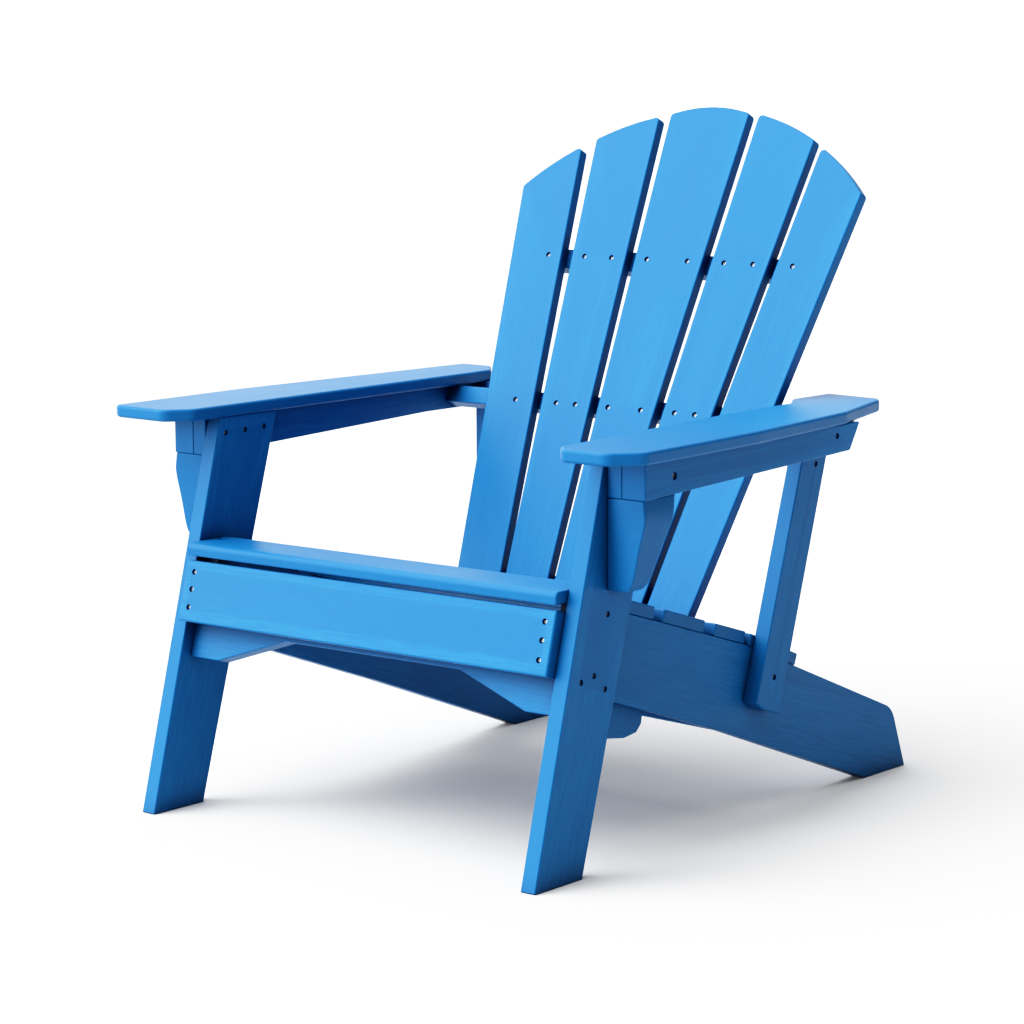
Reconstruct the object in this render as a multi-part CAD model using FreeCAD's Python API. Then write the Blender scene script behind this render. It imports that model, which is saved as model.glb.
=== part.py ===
"""Adirondack chair: raked legs, sloping side stringers, slatted seat, fan back and flat arms.

Millimetres. +X is the right of a person looking at the front of the chair, +Y runs to the back
and +Z is up.  The drawing is laid out from the front foot line (y = 0 at the toes of the front
legs) and every finished piece is then shifted so that the origin is the bottom centre of the
whole chair.
"""
import FreeCAD
import Part
import math
import os

V = FreeCAD.Vector

# ---- stock ---------------------------------------------------------------------------------
BOARD = 22.0            # frame boards: legs, stringers, posts, battens, stretcher
SLAT = 16.0             # seat slats, back slats and arms
APRON = 34.0            # the thick front apron
APRON_PROUD = 16.0      # how far the apron stands in front of the legs
OUTER_RAIL = 34.0       # the thick outer board of each arm rail pair
EASE, SLAT_EASE, APRON_EASE, ARM_EASE = 1.6, 2.0, 2.6, 4.0   # rounding of the boards' edges
CUT = 900.0             # side of the blocks used only for cutting, larger than any board
HALF_WIDTH = 302.0      # half the clear width between the front legs

# ---- front legs ----------------------------------------------------------------------------
LEG_RAKE = 0.270        # front edge, mm back per mm up
LEG_REAR_RAKE = 0.301   # rear edge, slightly steeper, so the leg widens upwards
LEG_FOOT_DEPTH = 90.0
ARM_UNDERSIDE = 500.0   # underside of the arms and top of legs and posts

# ---- side stringers, outline points (y, z) ---------------------------------------------------
SEAT_FRONT_TOP = 328.5  # level shelf under the front seat slat
STRINGER_SHELF_END = 115.0
STRINGER_BEND = (452.0, 225.0)
STRINGER_REAR_TOP = (799.0, 85.5)
STRINGER_HEEL = (832.0, 0.0)
STRINGER_TOE, LEFT_STRINGER_TOE = (733.5, 0.0), (708.0, 0.0)
STRINGER_BELLY, LEFT_STRINGER_BELLY = (410.0, 119.5), (410.0, 112.0)
STRINGER_FRONT_LOW = (101.5, 222.3)
STRINGER_REAR_ROUND = 38.0

# ---- apron and arched stretcher --------------------------------------------------------------
APRON_LOW, APRON_HIGH = 242.5, 319.0
STRETCHER_TOP = 304.0
STRETCHER_LUG, STRETCHER_ARCH = 201.0, 237.0
LUG_INNER, ARCH_START = 252.0, 143.0
EAR_TOP = 250.0         # below this the stretcher runs on to the legs, in a notch of each stringer

# ---- seat ------------------------------------------------------------------------------------
NOSE_FRONT, NOSE_BACK = 69.0, 140.0
SEAT_SLATS = ((154.0, 258.0), (277.0, 362.0), (384.0, 449.0))   # y ranges on the front slope
REAR_BOARD = (459.0, 564.0)                                    # y range on the rear slope

# ---- back ------------------------------------------------------------------------------------
BACK_Y, BACK_Z = 599.5, 495.3     # a point on the front face of the back
BACK_TAN = 0.494                  # mm back per mm up
BACK_LOW, BACK_HIGH = 290.0, 812.0   # heights at which the slat edges below are given
BLANK_LOW, BLANK_HIGH = 150.0, 940.0  # heights between which a slat's blank is cut
BACK_EDGES = (                    # x of each slat's two edges at BACK_LOW and at BACK_HIGH
    (-206.0, -129.5, -293.0, -199.8),
    (-119.8, -46.0, -177.6, -78.4),
    (-34.5, 42.0, -61.0, 64.0),
    (55.0, 121.8, 80.0, 180.5),
    (131.0, 202.5, 195.2, 286.0),
)
ARC_APEX_Z = 886.0
SLAT_ARCS = (                     # of each slat's top: centre x, radius, lift of the apex
    (-16.0, 387.0, -13.0), (0.0, 387.0, -5.0), (5.5, 219.0, 1.5), (0.0, 387.0, 1.0),
    (0.0, 387.0, 0.0),
)
SLAT_TOP_ROUND = 6.0
UPPER_BATTEN, UPPER_BATTEN_HALF = (684.3, 28.3), 238.0   # (height on the back plane, width)
LOWER_BATTEN = (495.4, 24.5)
FOOT_BATTEN, FOOT_BATTEN_HALF = (262.0, 33.0), 168.0

# ---- arms, outlines seen from above (x, y, corner radius) --------------------------------------
ARM_RIGHT = ((308.0, 70.0, 8.0), (326.0, 50.0, 14.0), (390.0, 48.0, 20.0), (422.0, 82.0, 20.0),
             (418.0, 193.0, 0.0), (411.0, 323.0, 0.0), (384.0, 554.0, 0.0), (344.0, 690.0, 8.0),
             (334.0, 705.0, 8.0), (248.0, 717.0, 8.0), (246.0, 634.0, 8.0), (272.0, 592.0, 8.0),
             (276.0, 430.0, 0.0), (290.0, 270.0, 0.0))
ARM_LEFT = ((-416.0, 60.0, 5.0), (-406.0, 54.0, 8.0), (-321.0, 50.0, 20.0), (-296.0, 82.0, 20.0),
            (-297.0, 164.0, 0.0), (-304.0, 640.0, 0.0), (-306.0, 688.0, 12.0),
            (-342.0, 731.0, 12.0), (-398.0, 734.0, 8.0), (-422.0, 296.0, 0.0))

# ---- rails, corbels and rear posts -------------------------------------------------------------
RAIL_FRONT, LEFT_RAIL_FRONT = 137.0, 129.0
RAIL_LOW_FRONT, RAIL_LOW_REAR = 449.5, 465.5   # the lower edge rises towards the back
RAIL_RIGHT_END = (568.0, 590.0)                # y of the slanted end, low and high
RAIL_LEFT_END = (716.0, 726.0)
RAIL_END_ROUND = 5.0
CORBEL_PROFILE = ((53.5, 0.0), (55.0, -10.0), (56.0, -20.0), (54.0, -34.0), (49.0, -52.0),
                  (41.5, -84.0), (35.5, -102.0), (28.0, -110.0))     # (out from the leg, up)
CORBEL_HEADROOM = 6.0                          # cut away along the sloping underside of the rails
CORBEL_DEPTH_TOP, CORBEL_DEPTH_LOW = 63.0, 32.0
RIGHT_POST = ((446.0, 153.0), (463.0, 141.5), (496.5, 131.5), (615.0, ARM_UNDERSIDE),
              (560.0, ARM_UNDERSIDE))          # (y, z)
LEFT_POST_Y, LEFT_POST_DEPTH, LEFT_POST_LOW = 674.0, 44.0, 40.0
LEFT_POST_CHAMFER = 8.0

# ---- inner cleat on the right stringer ---------------------------------------------------------
CLEAT_OUTLINE = ((160.0, 150.0), (190.0, 146.0), (230.0, 140.0), (254.0, 143.0), (264.0, 152.0),
                 (266.0, 162.0), (451.0, 108.0), (451.0, 158.0), (160.0, 252.0))

# ---- screws --------------------------------------------------------------------------------
HEAD_D, HEAD_H = 6.0, 2.2        # pan of the common screw
BOLT_HEAD_D = 8.0                # the larger front screw of each rail
RIM = 0.7                        # air round a head in its counterbore
BORE_H = 4.2                     # depth of the counterbore
BORE_ABOVE = 4.0                 # how far a cutting tool stands out of the board
SHANK_D = 3.6
DRIVE, DRIVE_DEPTH = 2.4, 1.2    # square drive recess
SHORT, FRAME_SCREW, BACK_SCREW, LONG = 19.0, 40.0, 34.0, 70.0   # screw lengths
RAIL_SCREW, APRON_SCREW = 50.0, 60.0

STRINGER_MID = HALF_WIDTH - BOARD / 2
APRON_SCREW_X = 287.0
APRON_SCREW_Z = (304.5, 283.0, 260.5)
BACK_SCREW_ROWS = ((683.0, (34.0, 94.5, 141.5, 205.0)), (489.5, (27.5, 83.5, 116.5, 188.0)))
FOOT_SCREW_X = (22.0, 70.0, 105.0, 152.0)
LEG_SCREWS = ((139.5, 311.0), (113.0, 241.0), (134.0, 222.0))   # (y, z), outer face, into stringer
EAR_SCREW = (88.5, 237.0)                                       # outer face, into the stretcher
LEG_TOP_SCREWS = ((144.5, 479.0), (180.0, 480.0), (215.5, 481.0))               # inner face
RIGHT_POST_SCREW, RIGHT_POST_TOP_SCREW = (485.0, 180.0), (574.5, 443.0)
LEFT_POST_SCREW, LEFT_POST_TOP_SCREW = (696.0, 82.0), (700.0, 482.0)
RAIL_BOLT, RAIL_REAR_SCREW = (194.5, 473.5), (538.0, 486.5)
NOSE_SCREW_Y = 118.0
NOSE_ROUND = 7.0
SEAT_SCREW_INSET = 0.26          # of a slat's width, from each long edge


def prism(points, axis, start, thickness, ease=EASE, rounds=()):
    """Extrude a closed outline along X, Y or Z, then round every edge by `ease`."""
    if axis == "x":
        corners = [V(start, a, b) for a, b in points]
        run = V(thickness, 0, 0)
    elif axis == "y":
        corners = [V(a, start, b) for a, b in points]
        run = V(0, thickness, 0)
    else:
        corners = [V(a, b, start) for a, b in points]
        run = V(0, 0, thickness)
    solid = Part.Face(Part.makePolygon(corners + corners[:1])).extrude(run)
    for (a, b), radius in rounds:
        edges = [e for e in solid.Edges if _upright_at(e, axis, a, b)]
        solid = solid.makeFillet(radius, edges)
    return eased(solid, ease) if ease else solid


def _upright_at(edge, axis, a, b):
    """True for the straight edge that stands along `axis` over the outline point (a, b)."""
    pick = {"x": lambda p: (p.y, p.z), "y": lambda p: (p.x, p.z), "z": lambda p: (p.x, p.y)}[axis]
    return all(math.dist(pick(v.Point), (a, b)) < 0.01 for v in edge.Vertexes)


def eased(solid, radius):
    """Round all edges of a board; falls back to a smaller radius where the curve is tight."""
    for r in (radius, radius * 0.6, radius * 0.3):
        try:
            result = solid.makeFillet(r, solid.Edges)
            if result.isValid() and result.Volume > 0:
                return result.Solids[0]
        except Exception:
            continue
    return solid


def mirrored(shape):
    return shape.mirror(V(0, 0, 0), V(1, 0, 0))


def on_slope(outline, origin, direction, normal, depth, ease=SLAT_EASE):
    """A board drawn in a tilted plane: outline (x, s), s along `direction`, thickness on `normal`."""
    corners = [V(x, 0, 0) + origin + direction * s for x, s in outline]
    solid = Part.Face(Part.makePolygon(corners + corners[:1])).extrude(normal * depth)
    return eased(solid, ease)


# ---- screws: each is drawn once at the origin, head towards +Z, then placed --------------------
def screw_solid(length, head_d):
    head = Part.makeCylinder(head_d / 2, HEAD_H, V(0, 0, -BORE_H))
    shank = Part.makeCylinder(SHANK_D / 2, length - BORE_H, V(0, 0, -length))
    drive = Part.makeBox(DRIVE, DRIVE, 2 * DRIVE_DEPTH,
                         V(-DRIVE / 2, -DRIVE / 2, -BORE_H + HEAD_H - DRIVE_DEPTH))
    return head.fuse(shank).removeSplitter().cut(drive).Solids[0]


def bore_solid(length, head_d):
    bore = Part.makeCylinder(head_d / 2 + RIM, BORE_H + BORE_ABOVE, V(0, 0, -BORE_H))
    shank = Part.makeCylinder(SHANK_D / 2, length - BORE_H, V(0, 0, -length))
    return bore.fuse(shank).removeSplitter().Solids[0]


class Screws:
    """A family of like screws and the holes they need in the boards they pass through."""

    def __init__(self, name, length, head_d=HEAD_D):
        self.name, self.length, self.head_d = name, length, head_d
        self.solids, self.holes = [], []

    def add(self, point, outward, *through):
        """Stand one screw at `point`, head facing `outward`, and note the boards it enters."""
        place = FreeCAD.Placement(point, FreeCAD.Rotation(V(0, 0, 1), outward))
        solid, hole = screw_solid(self.length, self.head_d), bore_solid(self.length, self.head_d)
        solid.Placement = place
        hole.Placement = place
        self.solids.append(solid)
        self.holes.extend((name, hole) for name in through)


def leg_front(z):
    return LEG_RAKE * z


# ---- frame -------------------------------------------------------------------------------------
def front_leg():
    outline = ((0, 0), (LEG_FOOT_DEPTH, 0),
               (LEG_FOOT_DEPTH + LEG_REAR_RAKE * ARM_UNDERSIDE, ARM_UNDERSIDE),
               (leg_front(ARM_UNDERSIDE), ARM_UNDERSIDE))
    return prism(outline, "x", HALF_WIDTH, BOARD)


RAKE_LEN = math.hypot(1, LEG_RAKE)
RAKE_UP = V(0, LEG_RAKE / RAKE_LEN, 1 / RAKE_LEN)
RAKE_BACK = V(0, 1 / RAKE_LEN, -LEG_RAKE / RAKE_LEN)
APRON_BACK = APRON - APRON_PROUD          # the apron's rear face, behind the front of the legs


def on_rake(z):
    """Distance up the raked front plane for a height z."""
    return z * RAKE_LEN


def raked(z, back):
    """The point (y, z) reached by going `back` square into the leg from height z on its front."""
    return leg_front(z) + back / RAKE_LEN, z - back * LEG_RAKE / RAKE_LEN


def side_stringer(belly, toe):
    front_top = (leg_front(SEAT_FRONT_TOP) + APRON_BACK * RAKE_LEN, SEAT_FRONT_TOP)
    outline = (front_top, raked(EAR_TOP, APRON_BACK), raked(EAR_TOP, APRON_BACK + BOARD),
               STRINGER_FRONT_LOW, belly, toe, STRINGER_HEEL, STRINGER_REAR_TOP,
               STRINGER_BEND, (STRINGER_SHELF_END, SEAT_FRONT_TOP))
    return prism(outline, "x", HALF_WIDTH - BOARD, BOARD,
                 rounds=((STRINGER_REAR_TOP, STRINGER_REAR_ROUND),))


def apron():
    low, high = on_rake(APRON_LOW), on_rake(APRON_HIGH)
    w = HALF_WIDTH
    outline = ((-w, low), (w, low), (w, high), (-w, high))
    return on_slope(outline, RAKE_BACK * APRON_BACK, RAKE_UP, RAKE_BACK * -1, APRON, APRON_EASE)


def stretcher():
    """Arched board behind the apron; its lower ears reach the legs under the stringers."""
    w, inner = HALF_WIDTH, HALF_WIDTH - BOARD
    lug, arch = on_rake(STRETCHER_LUG), on_rake(STRETCHER_ARCH)
    ear, top = on_rake(EAR_TOP), on_rake(STRETCHER_TOP)
    outline = ((-w, lug), (-LUG_INNER, lug), (-ARCH_START, arch), (ARCH_START, arch),
               (LUG_INNER, lug), (w, lug), (w, ear), (inner, ear), (inner, top), (-inner, top),
               (-inner, ear), (-w, ear))
    return on_slope(outline, RAKE_BACK * APRON_BACK, RAKE_UP, RAKE_BACK, BOARD, EASE)


# ---- seat --------------------------------------------------------------------------------------
def slope_frame(a, b):
    """Unit direction from a to b in the YZ plane, and the unit normal that points up."""
    run = V(0, b[0] - a[0], b[1] - a[1])
    run.normalize()
    return run, V(0, -run.z, run.y)


FRONT_SLOPE = ((STRINGER_SHELF_END, SEAT_FRONT_TOP), STRINGER_BEND)
REAR_SLOPE = (STRINGER_BEND, STRINGER_REAR_TOP)


def slat_on(slope, y0, y1):
    run, up = slope_frame(*slope)
    s0, s1 = (y0 - slope[0][0]) / run.y, (y1 - slope[0][0]) / run.y
    w = HALF_WIDTH
    outline = ((-w, s0), (w, s0), (w, s1), (-w, s1))
    return on_slope(outline, V(0, slope[0][0], slope[0][1]), run, up, SLAT)


def nose_slat():
    w = HALF_WIDTH
    box = Part.makeBox(2 * w, NOSE_BACK - NOSE_FRONT, SLAT, V(-w, NOSE_FRONT, SEAT_FRONT_TOP))
    front_top = [e for e in box.Edges if all(abs(v.Y - NOSE_FRONT) < 0.01 and
                                             v.Z > SEAT_FRONT_TOP + 1 for v in e.Vertexes)]
    return eased(box.makeFillet(NOSE_ROUND, front_top), SLAT_EASE)


# ---- back --------------------------------------------------------------------------------------
BACK_LEN = math.hypot(1, BACK_TAN)
BACK_UP = V(0, BACK_TAN / BACK_LEN, 1 / BACK_LEN)
BACK_REAR = V(0, 1 / BACK_LEN, -BACK_TAN / BACK_LEN)
BACK_ORIGIN = V(0, BACK_Y - BACK_TAN * BACK_Z, 0)


def on_back(z):
    """Distance up the reclined back plane for a height z on its front face."""
    return z * BACK_LEN


def rear_board_top():
    """A point on the top of the rear seat board, its upward normal and its direction."""
    run, up = slope_frame(*REAR_SLOPE)
    return V(0, *STRINGER_BEND) + up * SLAT, up, run


def block_below(point, along, up):
    """A large block whose top face lies in the plane through `point` that is square to `up`."""
    block = Part.makeBox(CUT, CUT, CUT)
    corner = point - V(CUT / 2, 0, 0) - along * (CUT / 2) - up * CUT
    block.Placement = FreeCAD.Placement(corner, FreeCAD.Rotation(V(1, 0, 0), along, up, "XZY"))
    return block


def back_slat(edges, arc):
    """One fanned slat: tapered blank, cut by its arc above and by the rear seat board below."""
    x0, x1, x2, x3 = edges
    centre_x, radius, lift = arc

    def at(a, b, z):
        return a + (b - a) * (z - BACK_LOW) / (BACK_HIGH - BACK_LOW)
    low, high = on_back(BLANK_LOW), on_back(BLANK_HIGH)
    outline = ((at(x0, x2, BLANK_LOW), low), (at(x1, x3, BLANK_LOW), low),
               (at(x1, x3, BLANK_HIGH), high), (at(x0, x2, BLANK_HIGH), high))
    corners = [V(x, 0, 0) + BACK_ORIGIN + BACK_UP * s for x, s in outline]
    board = Part.Face(Part.makePolygon(corners + corners[:1])).extrude(BACK_REAR * SLAT)
    centre = BACK_ORIGIN + V(centre_x, 0, 0) + BACK_UP * (on_back(ARC_APEX_Z) + lift - radius)
    disc = Part.makeCylinder(radius, 3 * SLAT, centre - BACK_REAR * SLAT, BACK_REAR)
    board = board.common(disc.fuse(block_below(centre, BACK_REAR, BACK_UP)))
    point, up, run = rear_board_top()
    board = board.cut(block_below(point, run, up)).Solids[0]
    top_corners = [e for e in board.Edges if abs(e.Length - SLAT) < 0.01
                   and all(v.Z > UPPER_BATTEN[0] for v in e.Vertexes)]
    return eased(board.makeFillet(SLAT_TOP_ROUND, top_corners), SLAT_EASE)


def batten(place, half_length):
    middle_z, height = place
    s = on_back(middle_z)
    outline = ((-half_length, s - height / 2), (half_length, s - height / 2),
               (half_length, s + height / 2), (-half_length, s + height / 2))
    return on_slope(outline, BACK_ORIGIN + BACK_REAR * SLAT, BACK_UP, BACK_REAR, BOARD, EASE)


# ---- arms, rails, corbels, posts ---------------------------------------------------------------
def arm(outline):
    rounds = [((x, y), radius) for x, y, radius in outline if radius]
    return prism([(x, y) for x, y, _ in outline], "z", ARM_UNDERSIDE, SLAT, ARM_EASE, rounds)


RAIL_X = HALF_WIDTH + BOARD
OUTER_X = RAIL_X + BOARD + OUTER_RAIL


def rail_low(y):
    """Height of the rails' lower edge: it rises to the right rail's end and then runs level."""
    share = (y - RAIL_FRONT) / (RAIL_RIGHT_END[0] - RAIL_FRONT)
    return RAIL_LOW_FRONT + (RAIL_LOW_REAR - RAIL_LOW_FRONT) * min(share, 1.0)


def rail(inner_x, thickness, front, rear):
    end_low, end_high = rear
    outline = [(front, rail_low(front)), (end_low, rail_low(end_low)), (end_high, ARM_UNDERSIDE),
               (front, ARM_UNDERSIDE)]
    if end_low > RAIL_RIGHT_END[0]:
        outline.insert(1, (RAIL_RIGHT_END[0], RAIL_LOW_REAR))
    return prism(outline, "x", inner_x, thickness,
                 rounds=(((end_low, rail_low(end_low)), RAIL_END_ROUND),))


def corbel(front):
    """Curved bracket under the rails: a wavy front outline, deeper at the top than at the foot."""
    points = [V(RAIL_X + x, front, RAIL_LOW_FRONT + z) for x, z in CORBEL_PROFILE]
    low = points[-1].z
    curve = Part.BSplineCurve()
    curve.interpolate(points)
    head = V(points[0].x, front, points[0].z + CORBEL_HEADROOM)
    inner_head, inner_foot = V(RAIL_X, front, head.z), V(RAIL_X, front, low)
    rim = [Part.LineSegment(inner_head, head).toShape(),
           Part.LineSegment(head, points[0]).toShape(), curve.toShape(),
           Part.LineSegment(points[-1], inner_foot).toShape(),
           Part.LineSegment(inner_foot, inner_head).toShape()]
    block = Part.Face(Part.Wire(rim)).extrude(V(0, CORBEL_DEPTH_TOP, 0))
    top = front + CORBEL_DEPTH_TOP
    side_view = ((front, low), (front + CORBEL_DEPTH_LOW, low), (top, rail_low(top)),
                 (front, rail_low(front)))
    return eased(block.common(prism(side_view, "x", RAIL_X, CORBEL_DEPTH_TOP, ease=0)).Solids[0],
                 SLAT_EASE)


def right_post():
    return prism(RIGHT_POST, "x", HALF_WIDTH, BOARD)


def left_post():
    y0, y1 = LEFT_POST_Y, LEFT_POST_Y + LEFT_POST_DEPTH
    outline = ((y0, LEFT_POST_LOW + LEFT_POST_CHAMFER), (y0 + LEFT_POST_CHAMFER, LEFT_POST_LOW),
               (y1, LEFT_POST_LOW), (y1, ARM_UNDERSIDE), (y0, ARM_UNDERSIDE))
    return prism(outline, "x", -HALF_WIDTH - BOARD, BOARD)


def inner_cleat():
    return prism(CLEAT_OUTLINE, "x", HALF_WIDTH - 2 * BOARD, BOARD)


def boards():
    """All wooden boards by node name, in the drawing's own coordinates."""
    leg = front_leg()
    made = {
        "front_leg_right": leg, "front_leg_left": mirrored(leg),
        "side_stringer_right": side_stringer(STRINGER_BELLY, STRINGER_TOE),
        "side_stringer_left": mirrored(side_stringer(LEFT_STRINGER_BELLY, LEFT_STRINGER_TOE)),
        "front_apron": apron(), "arched_stretcher": stretcher(),
        "seat_slat_front": nose_slat(), "seat_board_rear": slat_on(REAR_SLOPE, *REAR_BOARD),
        "upper_back_batten": batten(UPPER_BATTEN, UPPER_BATTEN_HALF),
        "lower_back_batten": batten(LOWER_BATTEN, RAIL_X),
        "foot_back_batten": batten(FOOT_BATTEN, FOOT_BATTEN_HALF),
        "arm_right": arm(ARM_RIGHT), "arm_left": arm(ARM_LEFT),
        "corbel_right": corbel(RAIL_FRONT), "corbel_left": mirrored(corbel(LEFT_RAIL_FRONT)),
        "rear_post_right": right_post(), "rear_post_left": left_post(),
        "inner_cleat_right": inner_cleat(),
    }
    for i, (y0, y1) in enumerate(SEAT_SLATS, 1):
        made["seat_slat_%d" % i] = slat_on(FRONT_SLOPE, y0, y1)
    for i, (edges, arc) in enumerate(zip(BACK_EDGES, SLAT_ARCS), 1):
        made["back_slat_%d" % i] = back_slat(edges, arc)
    for name, inner_x, thickness in (("inner_rail_", RAIL_X, BOARD),
                                     ("outer_rail_", RAIL_X + BOARD, OUTER_RAIL)):
        made[name + "right"] = rail(inner_x, thickness, RAIL_FRONT, RAIL_RIGHT_END)
        made[name + "left"] = mirrored(rail(inner_x, thickness, LEFT_RAIL_FRONT, RAIL_LEFT_END))
    return made


def side(sign):
    return "right" if sign > 0 else "left"


def apron_screws():
    group = Screws("apron_screws", APRON_SCREW)
    for sign in (-1, 1):
        for z in APRON_SCREW_Z:
            point = V(sign * APRON_SCREW_X, 0, 0) + RAKE_UP * on_rake(z) - RAKE_BACK * APRON_PROUD
            group.add(point, RAKE_BACK * -1, "front_apron", "side_stringer_" + side(sign))
    return group


def back_screws():
    group = Screws("back_slat_screws", BACK_SCREW)
    for (z, columns), batten_name in zip(BACK_SCREW_ROWS, ("upper_back_batten", "lower_back_batten")):
        for sign in (-1, 1):
            for x, step in zip(columns, (0, 1, 1, 2)):
                slat = "back_slat_%d" % (3 + sign * step)
                point = V(sign * x, 0, 0) + BACK_ORIGIN + BACK_UP * on_back(z)
                group.add(point, BACK_REAR * -1, slat, batten_name)
    return group


def foot_screws():
    group = Screws("foot_batten_screws", BACK_SCREW)
    for sign in (-1, 1):
        for x, step in zip(FOOT_SCREW_X, (0, 1, 1, 2)):
            point = (V(sign * x, 0, 0) + BACK_ORIGIN + BACK_UP * on_back(FOOT_BATTEN[0])
                     + BACK_REAR * (SLAT + BOARD))
            group.add(point, BACK_REAR, "foot_back_batten", "back_slat_%d" % (3 + sign * step))
    return group


def leg_screws():
    group = Screws("leg_screws", FRAME_SCREW)
    for sign in (-1, 1):
        leg = "front_leg_" + side(sign)
        for y, z in LEG_SCREWS:
            group.add(V(sign * RAIL_X, y, z), V(sign, 0, 0), leg, "side_stringer_" + side(sign))
        group.add(V(sign * RAIL_X, *EAR_SCREW), V(sign, 0, 0), leg, "arched_stretcher")
        for y, z in LEG_TOP_SCREWS:
            group.add(V(sign * HALF_WIDTH, y, z), V(-sign, 0, 0), leg, "inner_rail_" + side(sign))
    return group


def seat_screws():
    group = Screws("seat_screws", FRAME_SCREW)
    rows = [("seat_slat_%d" % i, FRONT_SLOPE, ends) for i, ends in enumerate(SEAT_SLATS, 1)]
    rows.append(("seat_board_rear", REAR_SLOPE, REAR_BOARD))
    for sign in (-1, 1):
        stringer = "side_stringer_" + side(sign)
        group.add(V(sign * STRINGER_MID, NOSE_SCREW_Y, SEAT_FRONT_TOP + SLAT), V(0, 0, 1),
                  "seat_slat_front", stringer)
        for name, slope, (y0, y1) in rows:
            run, up = slope_frame(*slope)
            for share in (SEAT_SCREW_INSET, 1 - SEAT_SCREW_INSET):
                s = (y0 + share * (y1 - y0) - slope[0][0]) / run.y
                point = V(sign * STRINGER_MID, slope[0][0], slope[0][1]) + run * s + up * SLAT
                group.add(point, up, name, stringer)
    return group


def rail_screws():
    bolts = Screws("rail_bolts", LONG, BOLT_HEAD_D)
    joiners = Screws("rail_screws", RAIL_SCREW)
    for sign in (-1, 1):
        rails = ("outer_rail_" + side(sign), "inner_rail_" + side(sign))
        bolts.add(V(sign * OUTER_X, *RAIL_BOLT), V(sign, 0, 0), *rails, "front_leg_" + side(sign))
        joiners.add(V(sign * OUTER_X, *RAIL_REAR_SCREW), V(sign, 0, 0), *rails)
    bolts.add(V(-OUTER_X, *LEFT_POST_TOP_SCREW), V(-1, 0, 0), "outer_rail_left", "inner_rail_left",
              "rear_post_left")
    return bolts, joiners


def post_screws():
    feet = Screws("post_screws", FRAME_SCREW)
    feet.add(V(RAIL_X, *RIGHT_POST_SCREW), V(1, 0, 0), "rear_post_right", "side_stringer_right")
    feet.add(V(-RAIL_X, *LEFT_POST_SCREW), V(-1, 0, 0), "rear_post_left", "side_stringer_left")
    top = Screws("post_top_screw", SHORT)
    top.add(V(RAIL_X, *RIGHT_POST_TOP_SCREW), V(1, 0, 0), "rear_post_right")
    return feet, top


def assemble():
    """Boards with their screw holes, plus one compound of solids for each family of screws."""
    made = boards()
    groups = [apron_screws(), back_screws(), foot_screws(), leg_screws(), seat_screws(),
              *rail_screws(), *post_screws()]
    for group in groups:
        for name, hole in group.holes:
            made[name] = made[name].cut(hole)
    for name, shape in made.items():
        made[name] = shape.Solids[0]
    for group in groups:
        made[group.name] = Part.makeCompound(group.solids)
    box = FreeCAD.BoundBox()
    for shape in made.values():
        box.add(shape.optimalBoundingBox())
    shift = V(0, -box.Center.y, -box.ZMin)      # already centred on X
    for shape in made.values():
        shape.translate(shift)
    return made, box


def main():
    os.makedirs("parts", exist_ok=True)
    made, box = assemble()
    for name, shape in made.items():
        shape.exportStep("parts/%s.step" % name)
    print("%d nodes, %.1f x %.1f x %.1f mm" % (len(made), box.XLength, box.YLength, box.ZLength))


if __name__ == "__main__":
    main()
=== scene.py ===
"""Fan-back garden chair in satin blue lumber with stainless screws, dressed and lit in a pale studio.

Metres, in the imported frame: +X to the right of a person facing the chair, +Y to its back, +Z up.
The boards are the frame's own nodes with painted finishes; the screws are turned here in finer
detail and stand in for the frame's plain ones.
"""
import logging
import math
from dataclasses import dataclass, field
from enum import Enum
from typing import Any

import bpy
import numpy as np
from mathutils import Euler, Matrix, Vector


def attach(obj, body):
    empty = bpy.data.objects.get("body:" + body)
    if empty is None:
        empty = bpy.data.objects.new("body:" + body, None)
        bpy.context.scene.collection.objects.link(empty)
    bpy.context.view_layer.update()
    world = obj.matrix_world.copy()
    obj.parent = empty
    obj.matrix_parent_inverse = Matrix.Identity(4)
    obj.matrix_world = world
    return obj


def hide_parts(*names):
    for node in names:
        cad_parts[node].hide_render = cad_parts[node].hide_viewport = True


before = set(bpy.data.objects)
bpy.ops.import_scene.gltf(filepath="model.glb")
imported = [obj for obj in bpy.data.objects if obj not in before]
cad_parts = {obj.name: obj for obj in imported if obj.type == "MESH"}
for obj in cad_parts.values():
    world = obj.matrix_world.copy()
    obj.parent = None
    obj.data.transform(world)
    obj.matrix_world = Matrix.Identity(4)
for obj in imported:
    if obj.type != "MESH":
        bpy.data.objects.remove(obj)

Colour = tuple[float, float, float]     # red, green and blue, linear
Blob = tuple[float, float, float]       # size of a patch of noise along, across and through a board
Profile = tuple[tuple[float, float], ...]

BODY = "root"
MIDDLE = 0.5                            # the value that soft noise swings about
SEED_WAY = (1.0, 2.3, 0.7)              # the line through the noise on which the seeds lie
FIRST_SEED, SEED_STEP = 1.37, 3.71

log = logging.getLogger("chair")


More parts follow.
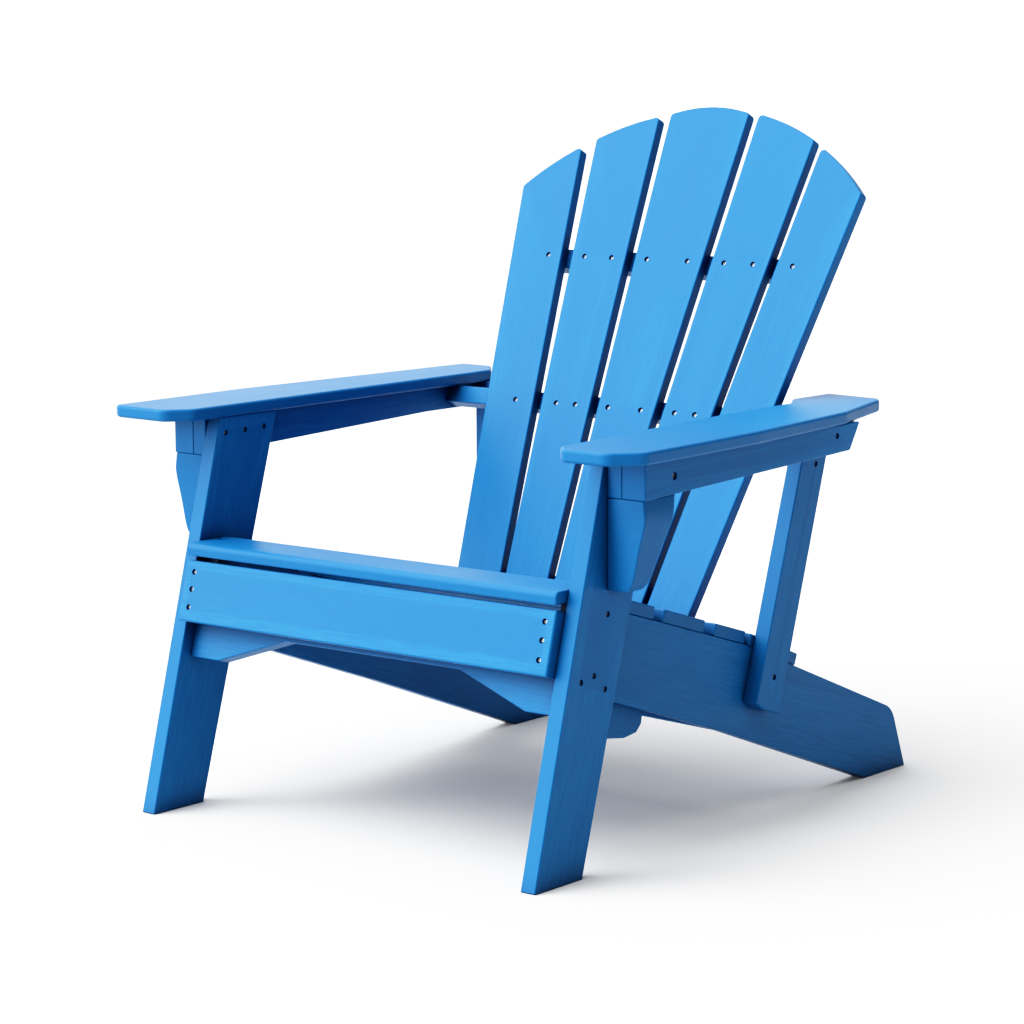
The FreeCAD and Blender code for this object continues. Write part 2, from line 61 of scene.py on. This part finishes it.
# ---- shader arithmetic ----------------------------------------------------------------------------
class Wire:
    """What comes out of a shader node; an expression on numbers adds its Math nodes."""

    def __init__(self, bench: "Bench", socket: bpy.types.NodeSocket) -> None:
        """Keep the bench that the socket belongs to and the socket itself."""
        self.bench = bench
        self.socket = socket

    def math(self, operation: str, *terms: "Wire | float", clamp: bool = False) -> "Wire":
        """Add one Math node.

        Args:
            operation: The Math node's operation.
            terms: Its inputs in order, wires or plain numbers.
            clamp: Whether the result is held between 0 and 1.

        Returns:
            The node's result.
        """
        settings = {"operation": operation, "use_clamp": clamp}
        return self.bench.add("ShaderNodeMath", settings, dict(enumerate(terms)))

    def __add__(self, other: "Wire | float") -> "Wire":
        """Sum of the two."""
        return self.math("ADD", self, other)

    def __radd__(self, other: float) -> "Wire":
        """Sum with a plain number on the left."""
        return self.math("ADD", other, self)

    def __sub__(self, other: "Wire | float") -> "Wire":
        """Difference of the two."""
        return self.math("SUBTRACT", self, other)

    def __rsub__(self, other: float) -> "Wire":
        """Difference with a plain number on the left."""
        return self.math("SUBTRACT", other, self)

    def __mul__(self, other: "Wire | float") -> "Wire":
        """Product of the two."""
        return self.math("MULTIPLY", self, other)

    def __rmul__(self, other: float) -> "Wire":
        """Product with a plain number on the left."""
        return self.math("MULTIPLY", other, self)

    def held(self) -> "Wire":
        """The same number held between 0 and 1."""
        return self.math("ADD", self, 0.0, clamp=True)

    def swing(self, weight: float) -> "Wire":
        """How far a noise stands from its middle value, times a weight."""
        return (self - MIDDLE) * weight

    def ease(self, low: float, high: float) -> "Wire":
        """Step smoothly from 0 to 1.

        Args:
            low: Where the step starts; below it the result is 0.
            high: Where it ends; above it the result is 1.

        Returns:
            A number from 0 to 1.
        """
        settings = {"interpolation_type": "SMOOTHSTEP"}
        inputs = {"Value": self, "From Min": low, "From Max": high}
        return self.bench.add("ShaderNodeMapRange", settings, inputs)


class Bench:
    """The node tree of one material or of the studio's surroundings."""

    def __init__(self, tree: bpy.types.NodeTree) -> None:
        """Clear the tree and start on an empty bench."""
        self.tree = tree
        tree.nodes.clear()

    def node(self, kind: str, settings: dict[str, Any] | None = None,
             inputs: dict[str | int, Any] | None = None) -> bpy.types.Node:
        """Add one node of any kind.

        Args:
            kind: The node's type.
            settings: Its own properties, set before its inputs.
            inputs: Values or wires by socket name or number.

        Returns:
            The node.
        """
        node = self.tree.nodes.new(kind)
        for name, value in (settings or {}).items():
            setattr(node, name, value)
        for key, value in (inputs or {}).items():
            if isinstance(value, Wire):
                self.tree.links.new(value.socket, node.inputs[key])
            else:
                node.inputs[key].default_value = value
        return node

    def add(self, kind: str, settings: dict[str, Any] | None = None,
            inputs: dict[str | int, Any] | None = None, output: str | int = 0) -> Wire:
        """Add one node and take one of its outputs, by name or number."""
        return Wire(self, self.node(kind, settings, inputs).outputs[output])

    def grain_noise(self, place: Wire, size: Blob, seed: float, detail: float = 2.0) -> Wire:
        """Soft noise whose blobs have a given length, width and depth.

        Args:
            place: Position on the piece, in metres.
            size: Size of a blob along the three directions of that position.
            seed: Where in the noise this piece lies, so that no two boards match.
            detail: How many finer layers the noise has.

        Returns:
            A number around the middle value.
        """
        fit = {0: place, 1: tuple(1.0 / s for s in size), 2: tuple(seed * way for way in SEED_WAY)}
        spot = self.add("ShaderNodeVectorMath", {"operation": "MULTIPLY_ADD"}, fit)
        return self.add("ShaderNodeTexNoise", None, {"Vector": spot, "Scale": 1.0, "Detail": detail})

    def mix(self, share: Wire | float, first: Wire | Colour, second: Wire | Colour) -> Wire:
        """Colour between first and second, by share."""
        inputs = {0: share, 6: with_alpha(first), 7: with_alpha(second)}
        return self.add("ShaderNodeMix", {"data_type": "RGBA"}, inputs, output=2)

    def bump(self, strength: float, depth: float, height: Wire) -> Wire:
        """Direction of the surface over a relief of the given depth."""
        return self.add("ShaderNodeBump", None,
                        {"Strength": strength, "Distance": depth, "Height": height})


def with_alpha(colour: Wire | Colour) -> Any:
    """A colour with its alpha, or a wire as it is."""
    return colour if isinstance(colour, Wire) else (*colour, 1.0)


def new_material(name: str) -> tuple[bpy.types.Material, Bench]:
    """Make an empty node material.

    Args:
        name: The material's name.

    Returns:
        The material and the bench of its tree.
    """
    material = bpy.data.materials.new(name)
    material.use_nodes = True
    return material, Bench(material.node_tree)


# ---- meshes ---------------------------------------------------------------------------------------
def corner_array(mesh: bpy.types.Mesh) -> np.ndarray:
    """Read a mesh's vertices.

    Args:
        mesh: The mesh.

    Returns:
        One row of three numbers for each vertex.
    """
    flat = np.empty(len(mesh.vertices) * 3, np.float32)
    mesh.vertices.foreach_get("co", flat)
    return flat.reshape(-1, 3).astype(float)


def grid_quads(rows: int, columns: int, closed: bool) -> list[list[int]]:
    """Number the quads between neighbouring corners of a grid that is numbered row by row.

    Args:
        rows: Number of rows of corners.
        columns: Number of corners in a row.
        closed: Whether the last corner of a row joins the first.

    Returns:
        Four corner numbers for each quad.
    """
    steps = columns if closed else columns - 1
    i, j = np.meshgrid(np.arange(rows - 1), np.arange(steps), indexing="ij")
    a, b = i * columns + j, i * columns + (j + 1) % columns
    return np.stack((a, a + columns, b + columns, b), -1).reshape(-1, 4).tolist()


def new_piece(name: str, corners: np.ndarray, faces: list[list[int]],
              coat: bpy.types.Material) -> bpy.types.Object:
    """Make an object of one mesh in one material and put it in the scene.

    Args:
        name: Name of the object and of its mesh.
        corners: The mesh's corners, as rows.
        faces: Corner numbers of each face.
        coat: The material.

    Returns:
        The object.
    """
    mesh = bpy.data.meshes.new(name)
    mesh.from_pydata(corners, [], faces)
    mesh.update()
    mesh.materials.append(coat)
    piece = bpy.data.objects.new(name, mesh)
    bpy.context.scene.collection.objects.link(piece)
    return piece


# ---- boards and their grain -----------------------------------------------------------------------
@dataclass(frozen=True)
class Lay:
    """How a board lies: its middle, the turn that takes X to its grain, and its place in the noise."""

    middle: Vector
    turn: Euler
    seed: float

    @classmethod
    def of_board(cls, board: bpy.types.Object, number: int) -> "Lay":
        """Find a board's lay from its shape.

        The three main directions of the spread of its corners are its length, width and
        thickness, longest first; the grain runs along the first.

        Args:
            board: The board's object.
            number: Its number in the chair, which gives it a part of the noise of its own.

        Returns:
            The board's lay.
        """
        corners = corner_array(board.data)
        middle = (corners.min(0) + corners.max(0)) / 2
        directions = np.linalg.svd(corners - corners.mean(0), full_matrices=False)[2]
        length, width = Vector(directions[0]), Vector(directions[1])
        if length[int(np.argmax(np.abs(directions[0])))] < 0:
            length.negate()
        axes = Matrix((length, width, length.cross(width))).transposed()
        return cls(Vector(middle), axes.to_euler(), FIRST_SEED + SEED_STEP * number)


@dataclass(frozen=True)
class Grain:
    """One layer of noise on a board, and how much it moves the tone, the roughness and the height."""

    size: Blob
    seed_gap: float = 0.0
    tone: float = 0.0
    rough: float = 0.0
    height: float = 0.0
    detail: float = 2.0

    def on(self, bench: Bench, place: Wire, seed: float) -> Wire:
        """The layer's noise at a place on the board with this seed."""
        return bench.grain_noise(place, self.size, seed + self.seed_gap, self.detail)


@dataclass(frozen=True)
class PaintedLumber:
    """Satin blue paint on planed lumber: fine fibres along the grain, clouds of tone, edges lightened
    partly by wear and partly as a painted highlight, painted shade in joints.
    """

    deep: Colour = (0.003, 0.085, 0.240)
    pale: Colour = (0.007, 0.110, 0.292)
    # colour of the painted shade in joints and slots
    painted_crease_shade: Colour = (0.000, 0.016, 0.070)
    rubbed_highlight: Colour = (0.020, 0.170, 0.410)
    # lighter colour of the edges: rubbed paint and painted highlight
    sheen: Colour = (0.630, 0.810, 1.000)
    fibre: Grain = Grain((0.016, 0.0009, 0.0009), tone=0.7, rough=0.22, height=0.55)
    streak: Grain = Grain((0.045, 0.0022, 0.0022), seed_gap=5.1, tone=0.5, height=0.35)
    cloud: Grain = Grain((0.300, 0.090, 0.090), seed_gap=9.4, tone=0.7, rough=0.12)
    stipple: Grain = Grain((0.0008, 0.0008, 0.0008), height=0.25, detail=1.0)
    roughness: float = 0.44
    refraction: float = 1.47
    gloss: float = 0.20
    relief: float = 0.00006                         # depth of the grain
    relief_strength: float = 0.6
    painted_shade_reach: float = 0.055                     # how far from a joint its painted shade reaches
    painted_shade_fade: tuple[float, float] = (0.22, 0.84)
    wear_and_highlight: float = 0.55                              # share of the lighter edge colour, rubbed paint and painted highlight, on a fully lightened edge
    wear_rough: float = 0.06
    edge_bulge: tuple[float, float] = (0.53, 0.62)  # how sharp an edge is where the lightening starts and ends
    edge_cover: float = 0.45
    edge_streak: float = 1.6
    edge_stipple: float = 0.5

    def coat(self, name: str, lay: Lay) -> bpy.types.Material:
        """Mix the finish for one board.

        Args:
            name: The material's name.
            lay: How the board lies.

        Returns:
            The material.
        """
        material, bench = new_material(name)
        here = bench.add("ShaderNodeTexCoord", output="Object")
        place = bench.add("ShaderNodeMapping", {"vector_type": "TEXTURE"},
                          {"Vector": here, "Location": lay.middle, "Rotation": lay.turn})
        fibre, streak, cloud, stipple = (grain.on(bench, place, lay.seed) for grain in (
            self.fibre, self.streak, self.cloud, self.stipple))
        worn_highlit_edge = self.worn_highlit_edge(bench, streak, stipple)
        tone = (MIDDLE + fibre.swing(self.fibre.tone) + streak.swing(self.streak.tone)
                + cloud.swing(self.cloud.tone)).held()
        # painted highlight and wear: the rounded edges take the lighter edge colour
        colour = bench.mix(worn_highlit_edge * self.wear_and_highlight, bench.mix(tone, self.deep, self.pale), self.rubbed_highlight)
        # painted shade: the colour darkens towards the shade colour in joints and slots, by ambient
        # occlusion
        colour = bench.mix(self.unshaded_share(bench), self.painted_crease_shade, colour)
        rough = (self.roughness + fibre.swing(self.fibre.rough) + cloud.swing(self.cloud.rough)
                 + worn_highlit_edge * self.wear_rough)
        height = (fibre * self.fibre.height + streak * self.streak.height
                  + stipple * self.stipple.height)
        shader = bench.add("ShaderNodeBsdfPrincipled", None, {
            "Base Color": colour, "Roughness": rough, "IOR": self.refraction,
            "Specular IOR Level": self.gloss, "Specular Tint": with_alpha(self.sheen),
            "Normal": bench.bump(self.relief_strength, self.relief, height)})
        bench.node("ShaderNodeOutputMaterial", None, {"Surface": shader})
        return material

    def unshaded_share(self, bench: Bench) -> Wire:
        """0 deep in a joint or a slot, where shade is painted into the colour, and 1 in the open."""
        openness = bench.add("ShaderNodeAmbientOcclusion", {"samples": 6},
                             {"Distance": self.painted_shade_reach}, output="AO")
        return openness.ease(*self.painted_shade_fade)

    def worn_highlit_edge(self, bench: Bench, streak: Wire, stipple: Wire) -> Wire:
        """Mask the rounded edges, lightened partly as paint thinned by handling and partly as a painted
        highlight, broken up along the grain.

        Args:
            bench: The material's bench.
            streak: The streaks' noise.
            stipple: The stipple's noise.

        Returns:
            1 where an edge is lightened and 0 elsewhere.
        """
        bulge = bench.add("ShaderNodeNewGeometry", output="Pointiness")
        patchy = self.edge_cover + streak.swing(self.edge_streak) + stipple.swing(self.edge_stipple)
        return bulge.ease(*self.edge_bulge) * patchy.held()


@dataclass(frozen=True)
class ScrewSteel:
    """Stainless steel with fine scratches, a little blotchy."""

    bright: Colour = (0.34, 0.37, 0.41)
    dull: Colour = (0.13, 0.15, 0.18)
    metal: float = 0.9
    roughness: float = 0.28
    blotch: Blob = (0.0022, 0.0022, 0.0022)
    blotch_seed: float = 3.0
    blotch_tone: float = 1.2
    scratch: Blob = (0.0002, 0.002, 0.0004)
    scratch_seed: float = 8.0
    scratch_tone: float = 0.5
    scratch_rough: float = 0.3
    relief: float = 0.00004         # depth of the scratches
    relief_strength: float = 0.5

    def coat(self, name: str) -> bpy.types.Material:
        """Mix the steel.

        Args:
            name: The material's name.

        Returns:
            The material.
        """
        material, bench = new_material(name)
        place = bench.add("ShaderNodeTexCoord", output="Object")
        blotch = bench.grain_noise(place, self.blotch, self.blotch_seed)
        scratch = bench.grain_noise(place, self.scratch, self.scratch_seed)
        shade = (MIDDLE + blotch.swing(self.blotch_tone) + scratch.swing(self.scratch_tone)).held()
        shader = bench.add("ShaderNodeBsdfPrincipled", None, {
            "Base Color": bench.mix(shade, self.dull, self.bright), "Metallic": self.metal,
            "Roughness": self.roughness + scratch.swing(self.scratch_rough),
            "Normal": bench.bump(self.relief_strength, self.relief, scratch)})
        bench.node("ShaderNodeOutputMaterial", None, {"Surface": shader})
        return material


# ---- sub-assemblies of boards ---------------------------------------------------------------------
class Side(Enum):
    """The two sides of the chair, as seen by a person facing it."""

    LEFT = "left"
    RIGHT = "right"


def on_both_sides(*parts: str) -> tuple[str, ...]:
    """Node names of parts that the chair has on its left and on its right."""
    return tuple(f"{part}_{side.value}" for part in parts for side in Side)


@dataclass
class BoardSet:
    """Boards of one sub-assembly, each given its own piece of the finish."""

    paint: PaintedLumber
    first_number: int
    nodes: tuple[str, ...] = ()

    def names(self) -> tuple[str, ...]:
        """The nodes of this sub-assembly, in the order in which they are numbered."""
        return self.nodes

    def dress(self) -> None:
        """Coat every board of the set along its own grain."""
        for number, name in enumerate(self.names(), self.first_number):
            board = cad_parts[name]
            coat = self.paint.coat("paint_" + name, Lay.of_board(board, number))
            board.data.materials.clear()
            board.data.materials.append(coat)
            log.info("%s painted", name)


@dataclass
class SideFrames(BoardSet):
    """Raked front legs, the stringers that slope back to the floor and the cleat under the right one."""

    nodes: tuple[str, ...] = on_both_sides("front_leg", "side_stringer") + ("inner_cleat_right",)


@dataclass
class FrontBoards(BoardSet):
    """The apron and the arched stretcher between the front legs."""

    nodes: tuple[str, ...] = ("front_apron", "arched_stretcher")


@dataclass
class SeatDeck(BoardSet):
    """Slats across the two slopes of the stringers."""

    nodes: tuple[str, ...] = ("seat_slat_front", "seat_slat_1", "seat_slat_2", "seat_slat_3",
                              "seat_board_rear")


@dataclass
class FanBack(BoardSet):
    """Five fanned slats and the three battens that hold them."""

    nodes: tuple[str, ...] = ("upper_back_batten", "lower_back_batten", "foot_back_batten")
    slats: int = 5

    def names(self) -> tuple[str, ...]:
        """Slats from left to right, then the battens from the top down."""
        return tuple(f"back_slat_{i + 1}" for i in range(self.slats)) + self.nodes


@dataclass
class ArmRests(BoardSet):
    """The arms, the rail pairs under them, their corbels and the rear posts."""

    nodes: tuple[str, ...] = on_both_sides("arm", "inner_rail", "outer_rail", "corbel", "rear_post")


# ---- screws ---------------------------------------------------------------------------------------
def separate_solids(mesh: bpy.types.Mesh) -> list[np.ndarray]:
    """Split a mesh of loose triangles into its separate solids.

    Corners at the same place get one number; every triangle then passes the lowest number among
    its corners round until nothing changes, so each solid ends with one number of its own.

    Args:
        mesh: The mesh of a node made of several solids.

    Returns:
        The corners of each solid, as arrays of rows.
    """
    micrometre = 6      # decimals of a metre within which corners are at the same place
    corners = corner_array(mesh)
    _, merged = np.unique(np.round(corners, micrometre), axis=0, return_inverse=True)
    loops = np.empty(len(mesh.loops), np.int32)
    mesh.loops.foreach_get("vertex_index", loops)
    triangles = merged.ravel()[loops].reshape(-1, 3)
    label = np.arange(triangles.max() + 1)
    while True:
        lowest = label[triangles].min(1)
        passed = label.copy()
        for column in triangles.T:
            np.minimum.at(passed, column, lowest)
        if (passed == label).all():
            break
        label = passed
    owner = label[merged.ravel()]
    return [corners[owner == number] for number in np.unique(owner)]


@dataclass(frozen=True)
class ScrewPlace:
    """One screw of the frame: the middle of its head's top, its outward direction and its sizes."""

    top: Vector
    outward: Vector
    length: float
    head_radius: float
    shank_radius: float

    @classmethod
    def of_solid(cls, corners: np.ndarray) -> "ScrewPlace":
        """Read a screw's place and sizes from its solid.

        Its axis is the main direction of its corners; the end with the wider ring is the head.

        Args:
            corners: The solid's corners.

        Returns:
            The screw's place.
        """
        middle = corners.mean(0)
        axis = np.linalg.svd(corners - middle, full_matrices=False)[2][0]
        along = (corners - middle) @ axis
        spread = np.linalg.norm(corners - middle - along[:, None] * axis, axis=1)
        halfway = (along.min() + along.max()) / 2
        if spread[along < halfway].max() > spread[along > halfway].max():
            axis, along, halfway = -axis, -along, -halfway
        shank = along < halfway
        centre = (corners[shank].max(0) + corners[shank].min(0)) / 2
        top = centre + axis * ((middle + axis * along.max() - centre) @ axis)
        radial = corners - top
        radial = np.linalg.norm(radial - (radial @ axis)[:, None] * axis, axis=1)
        return cls(Vector(top), Vector(axis), float(np.ptp(along)), float(radial.max()),
                   float(radial[shank].max()))


@dataclass
class ScrewFamily:
    """Pan-head screws with a six-lobed drive, turned in place of one node of plain ones."""

    node: str
    steel: bpy.types.Material
    turns: int = 48
    lobes: int = 6
    lobe_share: float = 0.16        # how far a lobe stands out, of the drive's radius
    lobe_fade: float = 0.6          # what is left of the lobes on the drive's lip
    drive_share: float = 0.44       # the drive's radius, of the head's
    drive_depth: float = 0.0015
    dome: float = 0.0007
    lip_share: float = 0.15         # fall of the drive's lip, in domes
    lip_step: float = 0.0001
    head_height: float = 0.0022
    head_line: Profile = ((0.62, 0.25), (0.80, 0.55), (0.92, 1.0), (0.985, 1.5), (1.0, 2.1))
    neck: float = 0.0004
    tip_share: float = 0.02         # radius of the small flat at each end, of the head or shank
    sharp_angle: float = 42.0       # degrees

    def rings(self, place: ScrewPlace) -> np.ndarray:
        """Corners of one screw on a grid of rings and turns.

        Each ring has a radius and a height below the top of the head.  Inside the drive the radius
        swells and shrinks six times round, and the height drops to the drive's floor; outside it
        the head falls away as a shallow dome, whose line gives shares of the head's radius and
        falls in domes, rounds over its rim, runs under to the shank and ends in a point.

        Args:
            place: The screw's place and sizes.

        Returns:
            Corners as (rings, turns, 3).
        """
        r, s = place.head_radius, place.shank_radius
        drive, floor = r * self.drive_share, -self.drive_depth
        lip, under = -self.dome * self.lip_share, -self.head_height
        inner = ((self.tip_share * r, floor), (0.80 * drive, floor), (0.97 * drive, 0.9 * floor),
                 (drive, lip - self.lip_step), (1.08 * drive, lip))
        head = [(share * r, -fall * self.dome) for share, fall in self.head_line] + [(r, under)]
        shank = ((1.05 * s, under), (s, under - self.neck), (s, 2.2 * s - place.length),
                 (self.tip_share * s, -place.length))
        profile = np.array((*inner, *head, *shank))
        lobed = np.zeros(len(profile))
        lobed[:len(inner)] = 1.0
        lobed[len(inner) - 1] = self.lobe_fade
        angle = np.linspace(0.0, 2 * math.pi, self.turns, endpoint=False)
        swell = 1.0 + lobed[:, None] * self.lobe_share * np.cos(self.lobes * angle)
        radius = (profile[:, :1] * swell)[..., None]
        across = place.outward.orthogonal().normalized()
        aside = place.outward.cross(across)
        turned = (np.cos(angle)[:, None] * np.array(across)
                  + np.sin(angle)[:, None] * np.array(aside))
        return np.array(place.top) + radius * turned + profile[:, 1:, None] * np.array(place.outward)

    def build(self) -> None:
        """Turn every screw of the family into one mesh and put it in the node's stead."""
        places = [ScrewPlace.of_solid(c) for c in separate_solids(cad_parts[self.node].data)]
        grids = np.array([self.rings(place) for place in places])
        rings = grids.shape[1]
        ring = np.arange(self.turns)
        caps = [ring.tolist(), (ring[::-1] + (rings - 1) * self.turns).tolist()]
        one_screw = grid_quads(rings, self.turns, closed=True) + caps
        faces = [[corner + number * rings * self.turns for corner in face]
                 for number in range(len(places)) for face in one_screw]
        piece = new_piece("turned_" + self.node, grids.reshape(-1, 3), faces, self.steel)
        piece.data.shade_smooth()
        piece.data.set_sharp_from_angle(angle=math.radians(self.sharp_angle))
        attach(piece, BODY)
        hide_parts(self.node)
        log.info("%s: %d screws turned", self.node, len(places))


@dataclass
class Fixings:
    """All the chair's screws, family by family."""

    steel: ScrewSteel = field(default_factory=ScrewSteel)
    families: tuple[str, ...] = (
        "apron_screws", "back_slat_screws", "foot_batten_screws", "leg_screws", "seat_screws",
        "rail_bolts", "rail_screws", "post_screws", "post_top_screw")

    def build(self) -> None:
        """Turn every family in the same steel."""
        steel = self.steel.coat("stainless_steel")
        for node in self.families:
            ScrewFamily(node, steel).build()


# ---- studio ---------------------------------------------------------------------------------------
@dataclass(frozen=True)
class Sun:
    """A broad far light: where it stands, how wide it looks and how much it adds to a facing wall."""

    name: str
    azimuth: float      # degrees from straight ahead of the chair, positive towards its right
    elevation: float
    width: float
    strength: float     # brightness of a white wall that faces it

    def towards(self) -> Vector:
        """Unit direction from the chair to the light."""
        a, e = math.radians(self.azimuth), math.radians(self.elevation)
        return Vector((math.sin(a) * math.cos(e), -math.cos(a) * math.cos(e), math.sin(e)))

    def hang(self) -> None:
        """Add the lamp."""
        lamp = bpy.data.lights.new(self.name, "SUN")
        lamp.energy = self.strength * math.pi
        lamp.angle = math.radians(self.width)
        holder = bpy.data.objects.new(self.name, lamp)
        holder.rotation_mode = "QUATERNION"
        holder.rotation_quaternion = self.towards().to_track_quat("Z", "Y")
        bpy.context.scene.collection.objects.link(holder)


@dataclass(frozen=True)
class Studio:
    """White surroundings, darker on the chair's right, three broad lights and a pale floor."""

    lights: tuple[Sun, ...] = (
        Sun("key", azimuth=-35.0, elevation=56.0, width=56.0, strength=0.45),
        Sun("front_fill", azimuth=-40.0, elevation=13.0, width=45.0, strength=0.30),
        Sun("overhead", azimuth=-20.0, elevation=80.0, width=90.0, strength=0.26))
    bright_wall: float = 0.74
    dark_wall: float = 0.01
    bright_side: Vector = field(default_factory=lambda: Vector((-0.90, -0.20, 0.40)).normalized())
    wall_fade: tuple[float, float] = (-0.36, 0.66)  # cosines to the bright side of dark and bright
    wall_share: float = 0.55        # how near the walls' light on the floor comes to the bright wall
    paper: float = 0.62             # brightness of the open floor
    paper_roughness: float = 0.95
    mottle: float = 0.004
    mottle_size: Blob = (0.02, 0.02, 0.02)
    mottle_seed: float = 4.0
    floor_half: float = 30.0
    floor_cells: int = 8

    def floor_tone(self) -> float:
        """The tone of paper that gives the open floor its brightness under these lights."""
        wall = self.dark_wall + (self.bright_wall - self.dark_wall) * self.wall_share
        return self.paper / (wall + sum(sun.strength * sun.towards().z for sun in self.lights))

    def surround(self) -> None:
        """Paint the walls: smooth from dark to bright towards the bright side, white to the eye."""
        world = bpy.data.worlds.new("studio")
        bpy.context.scene.world = world
        world.use_nodes = True
        bench = Bench(world.node_tree)
        way = bench.add("ShaderNodeTexCoord", output="Generated")
        facing = bench.add("ShaderNodeVectorMath", {"operation": "DOT_PRODUCT"},
                           {0: way, 1: self.bright_side}, output="Value")
        share = facing.ease(*self.wall_fade)
        level = self.dark_wall + share * (self.bright_wall - self.dark_wall)
        seen = bench.add("ShaderNodeLightPath", output="Is Camera Ray")
        light = bench.add("ShaderNodeBackground", None, {
            "Color": (1.0, 1.0, 1.0, 1.0), "Strength": level * (1.0 - seen) + seen})
        bench.node("ShaderNodeOutputWorld", None, {"Surface": light})

    def lay_floor(self) -> None:
        """Lay the floor: a flat square grid, its tone chosen so that open floor reads as white."""
        n = self.floor_cells + 1
        line = np.linspace(-self.floor_half, self.floor_half, n)
        x, y = np.meshgrid(line, line, indexing="ij")
        corners = np.stack((x, y, np.zeros_like(x)), -1).reshape(-1, 3)
        quads = grid_quads(n, n, closed=False)
        new_piece("studio_floor", corners, quads, self.floor_paper())

    def floor_paper(self) -> bpy.types.Material:
        """Matt paper with a very faint mottle.

        Returns:
            The material.
        """
        material, bench = new_material("floor_paper")
        place = bench.add("ShaderNodeTexCoord", output="Object")
        mottle = bench.grain_noise(place, self.mottle_size, self.mottle_seed)
        dark, light = ((self.floor_tone() * (1.0 + change),) * 3
                       for change in (-self.mottle, self.mottle))
        shader = bench.add("ShaderNodeBsdfPrincipled", None, {
            "Base Color": bench.mix(mottle, dark, light), "Roughness": self.paper_roughness,
            "Specular IOR Level": 0.0})
        bench.node("ShaderNodeOutputMaterial", None, {"Surface": shader})
        return material

    def build(self) -> None:
        """Set up the surroundings, the lights and the floor."""
        self.surround()
        for light in self.lights:
            light.hang()
        self.lay_floor()
        log.info("studio lit, floor tone %.3f", self.floor_tone())


@dataclass(frozen=True)
class PrintTone:
    """How scene brightness becomes picture brightness, like a print on glossy paper.

    The picture is one less e to the power of minus (gain times scene, to the power firmness),
    scaled so that the brightness called white comes out as pure white: a firm toe keeps the darks
    rich and the shoulder holds the lights.
    """

    white: float = 0.60
    gain: float = 4.00
    firmness: float = 1.35
    steps: int = 14
    all_colours: int = 3    # number of the curve that works on the three colours together

    def develop(self) -> None:
        """Put the curve into the scene's view settings, its points closest together in the darks."""
        view = bpy.context.scene.view_settings
        view.view_transform = "Standard"
        view.use_curve_mapping = True
        share = np.linspace(0.0, 1.0, self.steps) ** 2
        print_value = 1.0 - np.exp(-(self.gain * self.white * share) ** self.firmness)
        print_value /= print_value[-1]
        view.curve_mapping.white_level = (self.white,) * 3
        curve = view.curve_mapping.curves[self.all_colours]
        for x, y in zip(share[1:-1], print_value[1:-1]):
            curve.points.new(float(x), float(y))
        view.curve_mapping.update()


@dataclass(frozen=True)
class StudioCamera:
    """A long lens in front and to the right of the chair, a little above its back."""

    place: Vector = field(default_factory=lambda: Vector((2.5358, -3.1575, 0.9717)))
    turn: float = 39.316     # degrees that it looks to the left of straight back
    tilt: float = 9.145      # degrees below level
    roll: float = -0.305
    lens: float = 110.4      # millimetres, as the sensor is
    sensor: float = 36.0
    shift: tuple[float, float] = (0.0016, 0.0377)
    clip: tuple[float, float] = (0.05, 200.0)

    def build(self) -> None:
        """Place the camera and make it the scene's own."""
        turn, tilt, roll = (math.radians(v) for v in (self.turn, self.tilt, self.roll))
        ahead = Vector((-math.sin(turn) * math.cos(tilt), math.cos(turn) * math.cos(tilt),
                        -math.sin(tilt)))
        level = ahead.cross(Vector((0.0, 0.0, 1.0))).normalized()
        above = level.cross(ahead)
        right = level * math.cos(roll) + above * math.sin(roll)
        up = above * math.cos(roll) - level * math.sin(roll)
        data = bpy.data.cameras.new("studio_camera")
        data.lens, data.sensor_width = self.lens, self.sensor
        data.shift_x, data.shift_y = self.shift
        data.clip_start, data.clip_end = self.clip
        camera = bpy.data.objects.new("studio_camera", data)
        axes = Matrix((right, up, -ahead)).transposed().to_4x4()
        camera.matrix_world = Matrix.Translation(self.place) @ axes
        bpy.context.scene.collection.objects.link(camera)
        bpy.context.scene.camera = camera


def main() -> None:
    """Dress the chair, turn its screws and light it."""
    logging.basicConfig(level=logging.INFO, format="%(name)s: %(message)s")
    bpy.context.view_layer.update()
    paint = PaintedLumber()
    number = 0
    for kind in (SideFrames, FrontBoards, SeatDeck, FanBack, ArmRests):
        boards = kind(paint, number)
        boards.dress()
        number += len(boards.names())
    Fixings().build()
    Studio().build()
    StudioCamera().build()
    PrintTone().develop()


if __name__ == "__main__":
    main()
